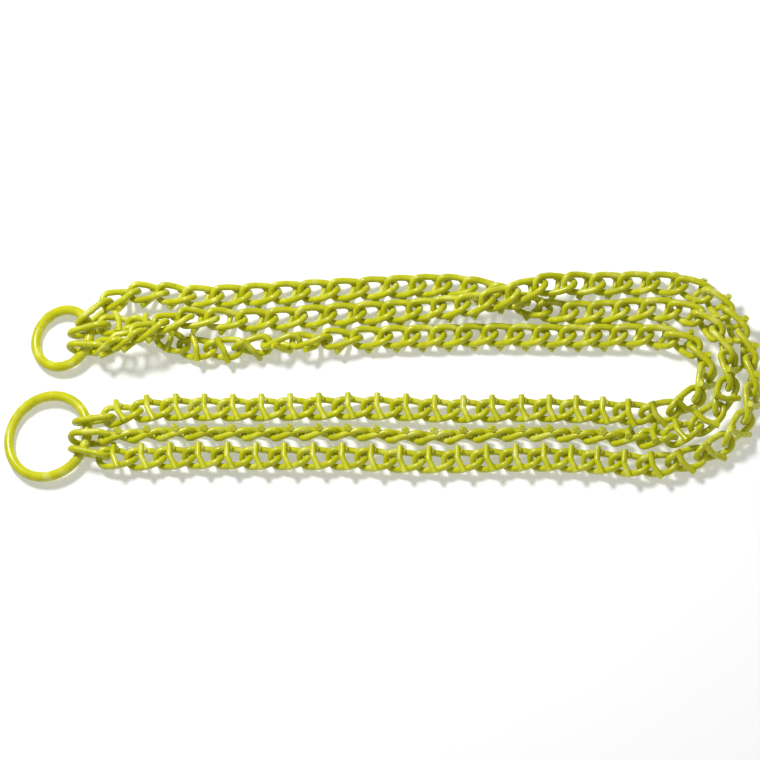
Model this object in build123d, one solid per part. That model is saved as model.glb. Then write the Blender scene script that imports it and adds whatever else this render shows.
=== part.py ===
from build123d import *
import math
import os

# A three-strand chain sling: two plain welded rings of different size joined by three strands of
# twist-link chain, with a V-bar welded across one face of every link.  The sling is modelled as it
# lies folded on a flat surface.  Millimetres, +Z up, +X along the strands away from the rings.

# --- Driving dimensions -----------------------------------------------------------------------
CHAIN_WIRE = 6.35           # 1/4 in chain wire
LINK_INSIDE = 31.8          # inside length of a chain link, its pitch when taut
LINK_WIDTH = 24.2           # outside width over the belly of a link
CROWN_TWIST = 45.0          # one crown is turned this far up and the other this far down (degrees)
CROWN_RADIUS = 7.7          # corner radius of a crown's centreline
BELLY_HALF = 5.0            # half length of the belly before the sides close in on the crowns
BELLY_RADIUS = 40.0
BAR_ROD = 5.8               # rod of a V-bar
BAR_SPAN = 26.6             # reach of a V-bar across the link, from end to end
BAR_SKEW = 19.0             # slant of a V-bar across the link (degrees)
BAR_RISE = 1.8              # height of the bend of the V above its ends
BAR_BULGE = 2.8             # sideways bulge of the bend of the V
BAR_BEND_RADIUS = 5.5
BAR_SINK = 0.7              # depth that the weld draws a V-bar into the link
WELD_GAP = 0.04             # hairline left between a V-bar and its link
END_WIRE = 6.6              # wire of a connecting link
END_INSIDE = 33.0           # inside length of a connecting link
END_OPENING = 13.5          # inside width of a connecting link
RING_WIRE = 10.0            # ring bar, 3/8 in under heavy paint
LARGE_INSIDE = 76.2         # inside diameter of the large ring, 3 in
SMALL_INSIDE = 50.8         # inside diameter of the small ring, 2 in
COLLAR_RISE = 0.4           # height of a weld collar above its wire
COLLAR_LENGTH = 4.0         # length of a weld collar along the wire
COLLAR_PLACE = 130.0        # where a ring is welded, round from +X (degrees)

# --- The lie of the strands -------------------------------------------------------------------
# A station is (x, y, z, roll): a point of a strand's centreline, and the roll of its links about
# the direction of travel.  Roll 0 has the V-bars on top, -90 has them on the left, -180 below.
# Every strand starts at the large ring, runs out along the front, turns back at the bend and
# comes in along the back to the small ring.  The three are abreast at the ends of each section.
STRANDS = ("inner", "middle", "outer")
FRONT_ENDS = (-276.5, -186.0, -95.5, -5.0, 85.5, 175.0, 257.5)
FRONT_LINKS = (3, 3, 3, 3, 3, 3)
BEND_LINKS = {"inner": 8, "middle": 11, "outer": 13}
BACK_ENDS = (248.0, 195.0, 7.0, -85.0, -177.0, -292.5)
BACK_LINKS = {"inner": (2, 7, 3, 3, 4), "middle": (2, 7, 3, 3, 4), "outer": (2, 7, 3, 3, 5)}

FRONT = {
    "inner": [(-290, -48.5, 13.8, -24), (-262, -40.5, 12.5, -18), (-236, -36, 10.5, -6),
              (-201, -34.5, 9.8, 0), (-138, -35, 9.8, 0), (-76, -34, 9.8, 0), (-14, -33, 9.8, 0),
              (28, -34, 9.8, 0), (76, -36, 9.8, 0), (111, -36, 9.8, 0), (153, -35, 9.8, 0),
              (195, -35.5, 9.8, 0), (227, -36.5, 9.8, 0), (253, -38, 10.5, 4), (281, -40.5, 11.5, 14)],
    "middle": [(-290, -65.8, 13.5, -70), (-262, -66, 12.8, -72), (-236, -63.5, 12.8, -72),
               (-207, -62, 12.8, -70), (-176, -61.5, 12.8, -70), (-124, -62, 12.8, -70),
               (-72, -61.5, 12.8, -70), (-31, -61, 12.8, -70), (1, -62, 12.8, -70),
               (32, -64.5, 12.8, -75), (64, -65.5, 12.8, -75), (95, -64, 12.8, -70),
               (125, -62.5, 12.8, -70), (156, -61.5, 12.8, -70), (198, -62, 12.8, -70),
               (231, -64, 12.8, -70), (281, -66, 14.5, -60)],
    "outer": [(-290, -85.5, 13.5, -24), (-262, -88.5, 12, -16), (-236, -87.5, 10.3, -4),
              (-174, -85.5, 9.8, 0), (-122, -86, 9.8, 0), (-70, -86, 9.8, 0), (-18, -86, 9.8, 0),
              (34, -88.5, 9.8, 0), (86, -89, 9.8, 0), (138, -87, 9.8, 0), (189, -86.5, 9.8, 0),
              (232, -88.5, 9.8, 0), (281, -92, 11, 6)],
}
BEND = {
    "inner": [(284.5, -40, 12.2, 20), (311.5, -36.5, 13.8, 47), (334, -22, 14.8, 70), (343.5, 0, 15.4, 91),
              (335, 21, 16.4, 111), (313, 34.5, 16.2, 135), (285.5, 41.5, 12.8, 160)],
    "middle": [(286, -67, 16.5, -46), (314.5, -66.5, 20, -22), (340.5, -58, 23, 6), (360, -41, 24.5, 34),
               (369, -16, 25, 61), (367, 10, 25.5, 86), (357.5, 32.5, 26, 109), (341.5, 50, 25.5, 131),
               (318.5, 62, 22, 151), (291, 68.5, 16, 168)],
    "outer": [(287, -93.5, 11.8, 14), (316, -91, 12.8, 29), (342.5, -84, 13.8, 44), (365.5, -72, 15, 59),
              (382.5, -54.5, 15.8, 74), (390, -31.5, 16.2, 88), (390, -6.5, 16.2, 102), (384, 18.5, 16.2, 116),
              (372.5, 43, 16.2, 130), (355.5, 65, 15.8, 143), (335, 83, 14.6, 155), (310.5, 93.5, 13.4, 165),
              (285, 97, 12.4, 173)],
}
BACK = {
    "inner": [(262, 43, 11.2, 176), (224, 42, 11, 180), (185, 42, 11, 180), (143, 43, 11, 180),
              (102, 43.5, 11, 180), (60, 42, 11, 180), (19, 41.5, 11, 180), (-23.7, 40, 12, 190),
              (-54.3, 38, 15.3, 215), (-85, 35, 17.7, 248), (-115.7, 32, 16.4, 280), (-146.3, 29, 14, 312),
              (-177, 28, 11.5, 340), (-206, 31, 9.8, 355), (-234.5, 45, 9.5, 363),
              (-263, 54.5, 11, 374), (-292.5, 53.5, 13, 386), (-312, 46, 13, 392)],
    "middle": [(262, 70, 12.4, 178), (228, 67, 11.2, 180), (205, 67, 11, 180), (177, 67.5, 11, 180),
               (148.7, 75, 11, 180), (120.3, 86, 11, 180), (92, 93, 11, 180), (63.7, 96, 11, 180),
               (35.3, 95.5, 11, 180), (7, 94.5, 11, 180), (-40, 92, 11, 180), (-85, 90, 11, 180),
               (-131, 87.5, 11, 180), (-177, 85, 11, 182), (-205, 84.5, 12.4, 190), (-234, 88, 13.6, 200),
               (-264, 88.5, 14.6, 210), (-292.5, 78.5, 15.5, 218), (-312, 62, 15, 220)],
    "outer": [(262, 97.5, 11.8, 178), (230, 96, 13.5, 180), (205, 93.5, 20, 180), (177, 91, 29.5, 180),
              (148.7, 81, 33, 180), (120.3, 72.5, 31, 180), (92, 69.5, 26, 180), (63.7, 68.8, 20, 180),
              (35.3, 68.5, 14, 180), (7, 68, 11, 180), (-22, 66.5, 11, 180), (-54, 65, 11, 180),
              (-85, 62.5, 11, 180), (-115.7, 60.5, 11, 182), (-146.3, 58.5, 14, 187), (-177, 57.5, 22, 195),
              (-200, 55, 30.5, 204), (-223, 46.5, 36.5, 211), (-246.3, 36, 37.5, 217),
              (-269.4, 29.5, 31, 223), (-292.5, 28.5, 19, 229), (-312, 28, 13, 232)],
}

# Connecting links: centre, heading and roll (degrees).
LARGE_LINKS = {"inner": ((-290.0, -47.3, 13.6), 9.0, 103), "middle": ((-292.0, -66.5, 13.5), 2.0, 74),
               "outer": ((-290.5, -82.5, 13.6), -11.0, 98)}
SMALL_LINKS = {"inner": ((-307.5, 48.5, 13.8), 15.0, 95), "middle": ((-304.0, 66.0, 14.0), 41.0, 93),
               "outer": ((-306.0, 29.0, 13.6), -2.0, 85)}
# Rings: centre, and the tilt that lifts the side held by the connecting links (degrees).
LARGE_RING = ((-338.5, -63.6, 9.6), 4.5)
SMALL_RING = ((-336.5, 41.0, 9.6), 8.0)


def curve_point(stations, position):
    """The smooth curve through the stations, at a position counted in stations from the first."""
    index = min(int(position), len(stations) - 2)
    t = position - index
    before = stations[max(index - 1, 0)]
    after = stations[min(index + 2, len(stations) - 1)]
    point = []
    for p0, p1, p2, p3 in zip(before, stations[index], stations[index + 1], after):
        bend = 2 * p0 - 5 * p1 + 4 * p2 - p3
        swing = 3 * p1 - p0 - 3 * p2 + p3
        point.append(p1 + 0.5 * t * (p2 - p0 + t * (bend + t * swing)))
    return point


def point_at(stations, x):
    """The point of a run, which goes steadily along X, where it passes x."""
    low, high = 0.0, len(stations) - 1.0
    outward = stations[-1][0] > stations[0][0]
    for _ in range(40):
        middle = (low + high) / 2
        if (curve_point(stations, middle)[0] < x) == outward:
            low = middle
        else:
            high = middle
    return curve_point(stations, low)


def run_joints(stations, ends, counts):
    """Where the links of a run meet: each section is shared evenly along X between its links."""
    joints = [point_at(stations, ends[0])]
    for start, end, count in zip(ends, ends[1:], counts):
        joints += [point_at(stations, start + (end - start) * (i + 1) / count) for i in range(count)]
    return joints


def bend_joints(stations, count):
    """Points from the first station to the last, evenly spaced along the curve."""
    fine = [curve_point(stations, (len(stations) - 1) * i / 4000) for i in range(4001)]
    lengths = [0.0]
    for start, end in zip(fine, fine[1:]):
        lengths.append(lengths[-1] + math.dist(start[:3], end[:3]))
    joints = []
    for i in range(count + 1):
        wanted = lengths[-1] * i / count
        joints.append(min(zip(lengths, fine), key=lambda pair: abs(pair[0] - wanted))[1])
    return joints


def split(joints, counts):
    """The joints of a run, section by section; neighbours share the joint between them."""
    sections = []
    first = 0
    for count in counts:
        sections.append(joints[first:first + count + 1])
        first += count
    return sections


def strand_sections(strand):
    """The strand's joints, section by section from the large ring to the small one."""
    front = split(run_joints(FRONT[strand], FRONT_ENDS, FRONT_LINKS), FRONT_LINKS)
    back = split(run_joints(BACK[strand], BACK_ENDS, BACK_LINKS[strand]), BACK_LINKS[strand])
    bend = bend_joints([front[-1][-1]] + BEND[strand] + [back[0][0]], BEND_LINKS[strand])
    return front + [bend] + back


def link_axes(start, end):
    """Centre, X direction and Z direction of the link between two joints of its strand."""
    along = unit([b - a for a, b in zip(start[:3], end[:3])])
    side = unit([-along[1], along[0], 0.0])
    up = cross(along, side)
    roll = math.radians((start[3] + end[3]) / 2)
    centre = [(a + b) / 2 for a, b in zip(start[:3], end[:3])]
    return centre, along, [u * math.cos(roll) - s * math.sin(roll) for u, s in zip(up, side)]


def unit(vector):
    length = math.sqrt(sum(v * v for v in vector))
    return [v / length for v in vector]


def cross(a, b):
    return [a[1] * b[2] - a[2] * b[1], a[2] * b[0] - a[0] * b[2], a[0] * b[1] - a[1] * b[0]]


def end_link_axes(centre, heading, roll):
    """Centre, X direction and Z direction of a connecting link."""
    heading, roll = math.radians(heading), math.radians(roll)
    along = [math.cos(heading), math.sin(heading), 0.0]
    side = [-math.sin(heading), math.cos(heading), 0.0]
    return centre, along, [-side[0] * math.sin(roll), -side[1] * math.sin(roll), math.cos(roll)]


# --- Pieces -----------------------------------------------------------------------------------
def half_link_path(half_length, half_width, twist, radii, belly=None):
    """Half the centreline of a link: from the middle of its +Y side, round the -X crown, to -Y."""
    c = half_width * math.cos(math.radians(twist))
    s = half_width * math.sin(math.radians(twist))
    corners = [(-half_length, c, s), (-half_length, -c, -s)]
    if belly:
        rise = s * belly / half_length
        corners = [(-belly, half_width, rise)] + corners + [(-belly, -half_width, -rise)]
    return FilletPolyline((0, half_width, 0), *corners, (0, -half_width, 0), radius=radii)


def round_bar(path, diameter):
    return sweep(Plane(path @ 0, z_dir=path % 0) * Circle(diameter / 2), path)


def chain_link(wire=CHAIN_WIRE):
    half_length = (LINK_INSIDE + CHAIN_WIRE) / 2
    half_width = (LINK_WIDTH - CHAIN_WIRE) / 2
    radii = [BELLY_RADIUS, CROWN_RADIUS, CROWN_RADIUS, BELLY_RADIUS]
    half = round_bar(half_link_path(half_length, half_width, CROWN_TWIST, radii, BELLY_HALF), wire)
    return half + half.rotate(Axis.Z, 180)


def v_bar():
    """The bent rod that lies on the +Z face of a link, cut to sit on its two side wires."""
    half_width = (LINK_WIDTH - CHAIN_WIRE) / 2
    half_length = (LINK_INSIDE + CHAIN_WIRE) / 2
    slope = half_width * math.sin(math.radians(CROWN_TWIST)) / half_length
    offset = math.tan(math.radians(BAR_SKEW))
    seat = half_width * offset * slope + CHAIN_WIRE / 2 * math.hypot(1, slope) + BAR_ROD / 2 - BAR_SINK
    reach = BAR_SPAN / 2
    low = seat - BAR_RISE * (1 - half_width / reach)
    points = [(-reach * offset, reach, low), (-BAR_BULGE, 0, low + BAR_RISE), (reach * offset, -reach, low)]
    path = FilletPolyline(*points, radius=BAR_BEND_RADIUS)
    return round_bar(path, BAR_ROD) - chain_link(CHAIN_WIRE + 2 * WELD_GAP)


def connecting_link():
    half_length = (END_INSIDE + END_WIRE) / 2
    half_width = (END_OPENING + END_WIRE) / 2
    radius = half_width - 0.25
    half = round_bar(half_link_path(half_length, half_width, 0, [radius, radius]), END_WIRE)
    collar = Plane.YZ * Cylinder(END_WIRE / 2 + COLLAR_RISE, COLLAR_LENGTH)
    return half + half.rotate(Axis.Z, 180) + Pos(0, half_width, 0) * collar


def ring(inside):
    radius = (inside + RING_WIRE) / 2
    collar = Pos(radius, 0, 0) * Rot(90, 0, 0) * Cylinder(RING_WIRE / 2 + COLLAR_RISE, COLLAR_LENGTH)
    return Torus(radius, RING_WIRE / 2) + Rot(0, 0, COLLAR_PLACE) * collar


def placed(piece, centre, along, upward):
    return Plane(origin=tuple(centre), x_dir=tuple(along), z_dir=tuple(upward)).location * piece


def section_names():
    fronts = [f"front_{i + 1}" for i in range(len(FRONT_LINKS))]
    return fronts + ["bend"] + [f"back_{i + 1}" for i in range(len(BACK_ENDS) - 1)]


def sling():
    """Every node of the sling: its name and its solids."""
    link, bar, end_link = chain_link(), v_bar(), connecting_link()
    nodes = {}
    for strand in STRANDS:
        for name, joints in zip(section_names(), strand_sections(strand)):
            axes = [link_axes(start, end) for start, end in zip(joints, joints[1:])]
            nodes[f"{name}_{strand}_links"] = [placed(link, *a) for a in axes]
            nodes.setdefault(f"{name}_v_bars", []).extend(placed(bar, *a) for a in axes)
        for name, links in (("large", LARGE_LINKS), ("small", SMALL_LINKS)):
            nodes[f"{name}_ring_{strand}_connecting_link"] = [placed(end_link, *end_link_axes(*links[strand]))]
    for name, inside, (centre, tilt) in (("large_ring", LARGE_INSIDE, LARGE_RING),
                                         ("small_ring", SMALL_INSIDE, SMALL_RING)):
        nodes[name] = [Pos(*centre) * Rot(0, -tilt, 0) * ring(inside)]
    return nodes


nodes = sling()
box = Compound([solid for solids in nodes.values() for solid in solids]).bounding_box()
to_origin = Pos(-box.center().X, -box.center().Y, -box.min.Z)
os.makedirs("parts", exist_ok=True)
for name, solids in nodes.items():
    export_step(to_origin * Compound(solids), f"parts/{name}.step")
print("sling", len(nodes), "nodes, box", box.size, "shift", to_origin.position)
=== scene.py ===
import bmesh
import bpy
import math
import numpy as np
from mathutils import Matrix, Vector, noise


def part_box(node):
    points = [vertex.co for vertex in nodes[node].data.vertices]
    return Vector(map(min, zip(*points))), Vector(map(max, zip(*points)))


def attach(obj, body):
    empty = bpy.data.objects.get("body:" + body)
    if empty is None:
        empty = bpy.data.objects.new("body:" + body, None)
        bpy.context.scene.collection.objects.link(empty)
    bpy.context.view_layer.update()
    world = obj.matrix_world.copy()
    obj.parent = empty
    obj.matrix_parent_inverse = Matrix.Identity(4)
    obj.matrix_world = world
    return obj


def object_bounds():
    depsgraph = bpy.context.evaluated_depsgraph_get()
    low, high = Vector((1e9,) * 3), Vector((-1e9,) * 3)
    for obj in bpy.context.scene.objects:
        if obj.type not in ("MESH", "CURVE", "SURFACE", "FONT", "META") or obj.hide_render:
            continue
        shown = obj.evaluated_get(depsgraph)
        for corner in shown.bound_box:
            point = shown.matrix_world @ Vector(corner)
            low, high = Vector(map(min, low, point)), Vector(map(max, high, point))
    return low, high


# A folded chain sling in glossy chartreuse paint, on a plain pale floor. The links, bars and
# rings are the CAD nodes; this script paints them and adds the weld beads. Metres, +Z up.

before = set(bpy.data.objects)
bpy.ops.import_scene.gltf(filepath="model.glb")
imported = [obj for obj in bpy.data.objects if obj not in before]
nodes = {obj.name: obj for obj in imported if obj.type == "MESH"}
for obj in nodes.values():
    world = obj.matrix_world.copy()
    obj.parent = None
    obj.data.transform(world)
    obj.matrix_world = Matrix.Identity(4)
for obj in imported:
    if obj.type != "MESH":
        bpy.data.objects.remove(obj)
cad_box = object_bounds()
STRANDS = ("inner", "middle", "outer")

# --- Weld bead sizes, in the frame of one link --------------------------------------------------
LINK_HALF_WIDTH = 0.0089       # from the middle of a link to the centreline of its side wires
BAR_SKEW = math.radians(19)    # slant of a V-bar across its link
SEAT_HEIGHT = 0.0040           # height of a weld above the middle of its link
BEAD_RADII = (0.0047, 0.0036, 0.0021)    # along the link, across it, upwards
BEAD_LUMP = 0.14               # unevenness of a weld bead
BEAD_LUMP_SCALE = 2.6          # how closely the lumps sit on the bead
BEAD_LUMP_STEP = (7.3, 3.1)    # how far one bead's lumps lie from the next one's
MERGE = 2e-6                   # corners nearer than this are one corner of a solid

# --- Camera: the side the sling is seen from, and how far the picture is rolled -----------------
CAMERA_AZIMUTH = math.radians(44.3)
CAMERA_ELEVATION = math.radians(63)
CAMERA_ROLL = math.radians(41)
CAMERA_DISTANCE = 8.0
CAMERA_FIELD = 0.7535          # width of what the camera takes in at the sling
LOOK_FROM_RING = (0.3400, 0.0636, -0.0096)    # middle of the large ring to the camera's target
SENSOR = 36.0                  # millimetres
CLIP_END = 50.0

# --- Colours and light --------------------------------------------------------------------------
# Pale patches on the paint: partly real scuffs, partly painted highlight.
SCUFF_AND_HIGHLIGHT = (0.68, 0.69, 0.10)
CHIP = (0.16, 0.165, 0.02)
FLOOR_TONES = (0.72, 0.72, 0.72), (0.74, 0.74, 0.735)
FLOOR_GLOW = 0.3
FLOOR_SIZE = 12.0
SKY_STRENGTH = 0.23
KEY_LIGHT = (-0.55, 0.75, 1.7), 0.5, 36.0     # place, width, watts
FILL_LIGHT = (0.9, -0.9, 1.4), 1.4, 4.0


def box_middle(node):
    low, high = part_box(node)
    return (Vector(low) + Vector(high)) / 2


CAMERA_TARGET = box_middle("large_ring") + Vector(LOOK_FROM_RING)


# --- Materials ----------------------------------------------------------------------------------
def new_material(name, roughness, coat):
    material = bpy.data.materials.new(name)
    material.use_nodes = True
    shader = material.node_tree.nodes["Principled BSDF"]
    shader.inputs["Roughness"].default_value = roughness
    shader.inputs["Coat Weight"].default_value = coat
    shader.inputs["Specular IOR Level"].default_value = 0.4
    shader.inputs["Coat Roughness"].default_value = 0.12
    return material, material.node_tree, shader


def noise_node(tree, scale, detail):
    """Noise over the object's own coordinates, which are metres in the sling's frame."""
    place = tree.nodes.new("ShaderNodeTexCoord")
    texture = tree.nodes.new("ShaderNodeTexNoise")
    texture.inputs["Scale"].default_value = scale
    texture.inputs["Detail"].default_value = detail
    tree.links.new(place.outputs["Object"], texture.inputs["Vector"])
    return texture.outputs["Fac"]


def ramp(tree, factor, stops):
    node = tree.nodes.new("ShaderNodeValToRGB")
    elements = node.color_ramp.elements
    while len(elements) < len(stops):
        elements.new(0.5)
    for element, (position, colour) in zip(elements, stops):
        element.position = position
        element.color = (*colour, 1.0)
    tree.links.new(factor, node.inputs["Fac"])
    return node.outputs["Color"]


def bump(tree, shader, height, strength, distance):
    node = tree.nodes.new("ShaderNodeBump")
    node.inputs["Strength"].default_value = strength
    node.inputs["Distance"].default_value = distance
    tree.links.new(height, node.inputs["Height"])
    tree.links.new(node.outputs["Normal"], shader.inputs["Normal"])


def paint(name, light, dark, roughness=0.34, lumps=260.0):
    """Thick dipped paint: two close tones, pale patches that are partly scuffs and partly painted
    highlight, an uneven coat and small dark chips.
    """
    material, tree, shader = new_material(name, roughness, coat=0.15)
    # The palest stop of the tone is partly scuff and partly painted highlight.
    tone = ramp(tree, noise_node(tree, scale=70.0, detail=6.0),
                [(0.34, dark), (0.56, light), (0.66, SCUFF_AND_HIGHLIGHT)])
    chips = ramp(tree, noise_node(tree, scale=330.0, detail=5.0),
                 [(0.70, (0, 0, 0)), (0.73, (1, 1, 1))])
    mix = tree.nodes.new("ShaderNodeMix")
    mix.data_type = "RGBA"
    tree.links.new(chips, mix.inputs["Factor"])
    tree.links.new(tone, mix.inputs["A"])
    mix.inputs["B"].default_value = (*CHIP, 1.0)
    tree.links.new(mix.outputs["Result"], shader.inputs["Base Color"])
    swells = noise_node(tree, scale=lumps, detail=2.0)
    bump(tree, shader, swells, strength=0.25, distance=0.0006)
    return material


PAINTS = {
    "ring_paint": paint("ring_paint", (0.60, 0.60, 0.004), (0.52, 0.53, 0.003), 0.30, 180.0),
    "link_paint": paint("link_paint", (0.58, 0.595, 0.003), (0.46, 0.475, 0.002)),
    "bar_paint": paint("bar_paint", (0.60, 0.61, 0.004), (0.50, 0.515, 0.003)),
    "connecting_link_paint": paint("connecting_link_paint",
                                   (0.58, 0.59, 0.003), (0.48, 0.495, 0.002)),
    "weld_paint": paint("weld_paint", (0.54, 0.55, 0.003), (0.40, 0.41, 0.002), 0.36, 700.0),
}


def floor_material():
    material, tree, shader = new_material("floor_white", roughness=0.75, coat=0.0)
    patches = noise_node(tree, scale=2.0, detail=2.0)
    tone = ramp(tree, patches, list(zip((0.3, 0.7), FLOOR_TONES)))
    tree.links.new(tone, shader.inputs["Base Color"])
    shader.inputs["Emission Color"].default_value = (1.0, 1.0, 1.0, 1.0)
    shader.inputs["Emission Strength"].default_value = FLOOR_GLOW
    return material


# --- Painting the CAD nodes ---------------------------------------------------------------------
def paint_name(node):
    if node.endswith("_v_bars"):
        return "bar_paint"
    if node.endswith("_links"):
        return "link_paint"
    return "connecting_link_paint" if node.endswith("_connecting_link") else "ring_paint"


def paint_nodes():
    for name, node in nodes.items():
        node.data.materials.clear()
        node.data.materials.append(PAINTS[paint_name(name)])


# --- Weld beads: where each V-bar crosses the two side wires of its link ------------------------
def solids(node):
    """Each closed solid of a node: its area-weighted middle and its axes, longest first."""
    mesh = bmesh.new()
    mesh.from_mesh(node.data)
    bmesh.ops.remove_doubles(mesh, verts=mesh.verts, dist=MERGE)
    found, seen = [], set()
    for seed in mesh.faces:
        if seed.index in seen:
            continue
        seen.add(seed.index)
        queue, middles, areas = [seed], [], []
        while queue:
            face = queue.pop()
            middles.append(tuple(face.calc_center_median()))
            areas.append(face.calc_area())
            for edge in face.edges:
                for other in edge.link_faces:
                    if other.index not in seen:
                        seen.add(other.index)
                        queue.append(other)
        points, weights = np.array(middles), np.array(areas)
        middle = (points * weights[:, None]).sum(0) / weights.sum()
        spread = ((points - middle) * weights[:, None]).T @ (points - middle)
        values, vectors = np.linalg.eigh(spread)
        found.append((Vector(middle), [Vector(vectors[:, i]) for i in (2, 1, 0)]))
    mesh.free()
    return found


def link_frame(link, bar_middles):
    """The link's own frame: X along it, Z towards its bar, and the bend of the bar towards -X."""
    middle, (along, side, _) = link
    bar = min(bar_middles, key=lambda point: (point - middle).length)
    up = along.cross(side).normalized()
    if up.dot(bar - middle) < 0:
        up = -up
    if along.dot(bar - middle) > 0:
        along = -along
    axes = Matrix((along, up.cross(along), up)).transposed()
    return Matrix.Translation(middle) @ axes.to_4x4()


def lumpy_bead(seed):
    """One bead round its own middle: a flattened ball with a lumpy outline."""
    shift = Vector((seed * BEAD_LUMP_STEP[0], seed * BEAD_LUMP_STEP[1], 0))
    mesh = bmesh.new()
    bmesh.ops.create_icosphere(mesh, subdivisions=3, radius=1.0)
    for vertex in mesh.verts:
        direction = vertex.co.normalized()
        lump = noise.noise(direction * BEAD_LUMP_SCALE + shift)
        vertex.co = Vector([d * r * (1 + BEAD_LUMP * lump) for d, r in zip(direction, BEAD_RADII)])
    return mesh


def weld_beads(section, frames):
    """All the beads of one section as one piece: two to a link, where its bar crosses it."""
    slant = LINK_HALF_WIDTH * math.tan(BAR_SKEW)
    mesh = bmesh.new()
    for index, place in enumerate(frames):
        for side in (1, -1):
            bead = lumpy_bead(index * 2 + side)
            spot = Vector((-side * slant, side * LINK_HALF_WIDTH, SEAT_HEIGHT))
            bead.transform(place @ Matrix.Translation(spot))
            data = bpy.data.meshes.new("bead")
            bead.to_mesh(data)
            bead.free()
            mesh.from_mesh(data)
            bpy.data.meshes.remove(data)
    data = bpy.data.meshes.new(f"{section}_weld_beads")
    mesh.to_mesh(data)
    mesh.free()
    data.shade_smooth()
    data.materials.append(PAINTS["weld_paint"])
    beads = bpy.data.objects.new(f"{section}_weld_beads", data)
    bpy.context.scene.collection.objects.link(beads)
    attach(beads, f"{section}_section")


def add_weld_beads():
    sections = [name[:-len("_v_bars")] for name in nodes if name.endswith("_v_bars")]
    for section in sections:
        bar_middles = [middle for middle, _ in solids(nodes[f"{section}_v_bars"])]
        frames = []
        for strand in STRANDS:
            links = solids(nodes[f"{section}_{strand}_links"])
            frames += [link_frame(link, bar_middles) for link in links]
        weld_beads(section, frames)


# --- Studio -------------------------------------------------------------------------------------
def floor():
    bpy.ops.mesh.primitive_plane_add(size=FLOOR_SIZE, location=(0, 0, cad_box[0][2]))
    plane = bpy.context.object
    plane.name = "floor"
    plane.data.materials.append(floor_material())


def area_light(name, place, size, power):
    data = bpy.data.lights.new(name, "AREA")
    data.shape = "DISK"
    data.size = size
    data.energy = power
    lamp = bpy.data.objects.new(name, data)
    lamp.location = place
    lamp.rotation_euler = (CAMERA_TARGET - Vector(place)).to_track_quat("-Z", "Y").to_euler()
    bpy.context.scene.collection.objects.link(lamp)


def studio():
    world = bpy.data.worlds.new("studio")
    world.use_nodes = True
    background = world.node_tree.nodes["Background"]
    background.inputs["Color"].default_value = (1.0, 1.0, 1.0, 1.0)
    background.inputs["Strength"].default_value = SKY_STRENGTH
    bpy.context.scene.world = world
    bpy.context.scene.view_settings.view_transform = "Standard"
    area_light("key", *KEY_LIGHT)
    area_light("fill", *FILL_LIGHT)


def camera():
    sideways = Vector((math.cos(CAMERA_AZIMUTH), math.sin(CAMERA_AZIMUTH), 0))
    away = Vector((-sideways.y, sideways.x, 0))
    towards = away * -math.cos(CAMERA_ELEVATION) + Vector((0, 0, math.sin(CAMERA_ELEVATION)))
    upright = away * math.sin(CAMERA_ELEVATION) + Vector((0, 0, math.cos(CAMERA_ELEVATION)))
    right = sideways * math.cos(CAMERA_ROLL) - upright * math.sin(CAMERA_ROLL)
    up = sideways * math.sin(CAMERA_ROLL) + upright * math.cos(CAMERA_ROLL)
    data = bpy.data.cameras.new("camera")
    data.sensor_width = SENSOR
    data.lens = SENSOR * CAMERA_DISTANCE / CAMERA_FIELD
    data.clip_end = CLIP_END
    eye = bpy.data.objects.new("camera", data)
    place = Matrix.Translation(CAMERA_TARGET + towards * CAMERA_DISTANCE)
    eye.matrix_world = place @ Matrix((right, up, towards)).transposed().to_4x4()
    bpy.context.scene.collection.objects.link(eye)
    bpy.context.scene.camera = eye


paint_nodes()
add_weld_beads()
floor()
studio()
camera()
